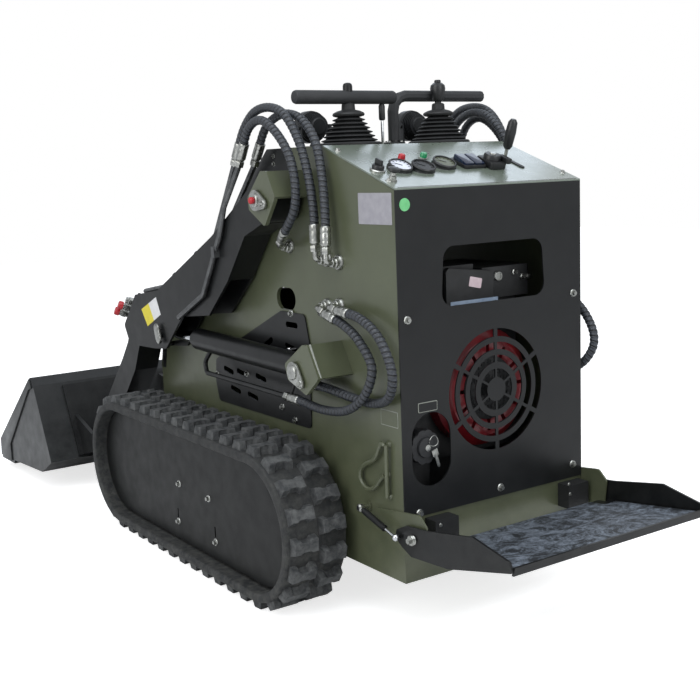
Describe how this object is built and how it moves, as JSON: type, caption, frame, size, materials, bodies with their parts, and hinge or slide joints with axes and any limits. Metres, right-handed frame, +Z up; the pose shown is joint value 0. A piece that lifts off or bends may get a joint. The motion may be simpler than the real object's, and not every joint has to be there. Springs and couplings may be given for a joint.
{
  "type": "tracked loader",
  "caption": "Small stand-behind tracked loader with a lifting arm, a bucket, rubber tracks and a folding rear step.",
  "frame": {"origin": "on the ground, under the middle of the bounding box at rest", "axes": "+X is the left side of the machine, +Y is its rear, where the driver stands, +Z is up"},
  "size_m": [1.05, 2.782, 1.3526],
  "materials": {
    "green_paint": "semi-gloss olive paint",
    "black_paint": "satin black paint",
    "zinc": "bright zinc plate",
    "chrome_rod": "polished chrome",
    "track_rubber": "matte rubber",
    "soft_rubber": "moulded rubber",
    "hose_rubber": "wrapped rubber hose",
    "engine_black": "satin black",
    "red_cover": "gloss red",
    "black_plastic": "moulded plastic",
    "bucket_paint": "satin charcoal paint"
  },
  "bodies": {
    "chassis": {"side_plate_left": "green_paint", "side_plate_right": "green_paint", "belly_pan": "green_paint", "rear_plate": "green_paint", "rear_cover": "black_paint", "dash_panel": "green_paint", "deck_plate": "green_paint", "hood_cover": "black_paint", "vent_cover_left": "black_paint", "vent_cover_right": "black_paint", "engine": "engine_black", "recoil_cover": "red_cover", "fuel_tank": "engine_black", "pivot_bracket_left": "green_paint", "pivot_bracket_right": "green_paint", "ram_bracket_left": "green_paint", "ram_bracket_right": "green_paint", "tie_downs": "green_paint", "step_buffers": "soft_rubber", "track_left": "track_rubber", "track_right": "track_rubber", "track_frame_left": "black_paint", "track_frame_right": "black_paint", "track_wheels_left": "black_paint", "track_wheels_right": "black_paint", "track_cover_left": "black_paint", "track_cover_right": "black_paint", "lever_boots": "soft_rubber", "control_levers": "black_plastic", "grab_bar": "black_plastic", "dash_controls": "black_plastic", "work_lamps": "black_plastic", "hose_ports_left": "zinc", "hose_ports_right": "zinc", "upper_hoses_left": "hose_rubber", "upper_hoses_right": "hose_rubber", "lower_hoses_left": "hose_rubber", "lower_hoses_right": "hose_rubber"},
    "lift_arm": {"arm_left": "black_paint", "arm_right": "black_paint", "arm_crossmember": "black_paint", "arm_pipes_left": "zinc", "arm_pipes_right": "zinc"},
    "lift_barrel_left": {"lift_barrel_left": "black_paint"},
    "lift_barrel_right": {"lift_barrel_right": "black_paint"},
    "lift_rod_left": {"lift_rod_left": "chrome_rod"},
    "lift_rod_right": {"lift_rod_right": "chrome_rod"},
    "tilt_barrel": {"tilt_barrel": "black_paint"},
    "tilt_rod": {"tilt_rod": "chrome_rod"},
    "bucket": {"coupler": "black_paint", "bucket": "bucket_paint"},
    "step": {"step": "black_paint"},
    "strut_barrel_left": {"strut_barrel_left": "black_paint"},
    "strut_barrel_right": {"strut_barrel_right": "black_paint"},
    "strut_rod_left": {"strut_rod_left": "chrome_rod"},
    "strut_rod_right": {"strut_rod_right": "chrome_rod"}
  },
  "joints": [
    {"name": "arm_lift", "type": "hinge", "parent": "chassis", "child": "lift_arm", "pos_m": [0, 0.556, 1.055], "axis": [-1, 0, 0], "range_deg": [0, 70], "deforming": ["upper_hoses_left", "upper_hoses_right"]},
    {"name": "bucket_tilt", "type": "hinge", "parent": "lift_arm", "child": "bucket", "pos_m": [0, -0.689, 0.195], "axis": [1, 0, 0], "range_deg": [-20, 100]},
    {"name": "step_fold", "type": "hinge", "parent": "chassis", "child": "step", "pos_m": [0, 1.049, 0.265], "axis": [1, 0, 0], "range_deg": [0, 85]},
    {"name": "lift_swing_left", "type": "hinge", "parent": "chassis", "child": "lift_barrel_left", "pos_m": [0.343, 0.703, 0.631], "axis": [-1, 0, 0], "range_deg": [0, 50], "deforming": ["lower_hoses_left"]},
    {"name": "lift_stroke_left", "type": "slide", "parent": "lift_barrel_left", "child": "lift_rod_left", "axis": [0, -0.9999, 0.0173], "range_m": [0, 0.374]},
    {"name": "lift_swing_right", "type": "hinge", "parent": "chassis", "child": "lift_barrel_right", "pos_m": [-0.343, 0.703, 0.631], "axis": [-1, 0, 0], "range_deg": [0, 50], "deforming": ["lower_hoses_right"]},
    {"name": "lift_stroke_right", "type": "slide", "parent": "lift_barrel_right", "child": "lift_rod_right", "axis": [0, -0.9999, 0.0173], "range_m": [0, 0.374]},
    {"name": "tilt_swing", "type": "hinge", "parent": "lift_arm", "child": "tilt_barrel", "pos_m": [0, -0.411, 0.708], "axis": [1, 0, 0], "range_deg": [-2, 7]},
    {"name": "tilt_stroke", "type": "slide", "parent": "tilt_barrel", "child": "tilt_rod", "axis": [0, -0.6712, -0.7413], "range_m": [-0.045, 0.215]},
    {"name": "strut_swing_left", "type": "hinge", "parent": "chassis", "child": "strut_barrel_left", "pos_m": [0.323, 0.856, 0.301], "axis": [1, 0, 0], "range_deg": [-10, 0.5]},
    {"name": "strut_stroke_left", "type": "slide", "parent": "strut_barrel_left", "child": "strut_rod_left", "axis": [0, 0.963, -0.2694], "range_m": [0, 0.066]},
    {"name": "strut_swing_right", "type": "hinge", "parent": "chassis", "child": "strut_barrel_right", "pos_m": [-0.323, 0.856, 0.301], "axis": [1, 0, 0], "range_deg": [-10, 0.5]},
    {"name": "strut_stroke_right", "type": "slide", "parent": "strut_barrel_right", "child": "strut_rod_right", "axis": [0, 0.963, -0.2694], "range_m": [0, 0.066]}
  ],
  "couplings": [
    {"joint": "lift_swing_left", "follows": "arm_lift", "ratio": 0.70138},
    {"joint": "lift_stroke_left", "follows": "arm_lift", "m_per_rad": 0.30478},
    {"joint": "lift_swing_right", "follows": "arm_lift", "ratio": 0.70138},
    {"joint": "lift_stroke_right", "follows": "arm_lift", "m_per_rad": 0.30478},
    {"joint": "tilt_swing", "follows": "bucket_tilt", "ratio": 0.055},
    {"joint": "tilt_stroke", "follows": "bucket_tilt", "m_per_rad": 0.1215},
    {"joint": "strut_swing_left", "follows": "step_fold", "ratio": -0.0998},
    {"joint": "strut_stroke_left", "follows": "step_fold", "m_per_rad": 0.04215},
    {"joint": "strut_swing_right", "follows": "step_fold", "ratio": -0.0998},
    {"joint": "strut_stroke_right", "follows": "step_fold", "m_per_rad": 0.04215}
  ]
}
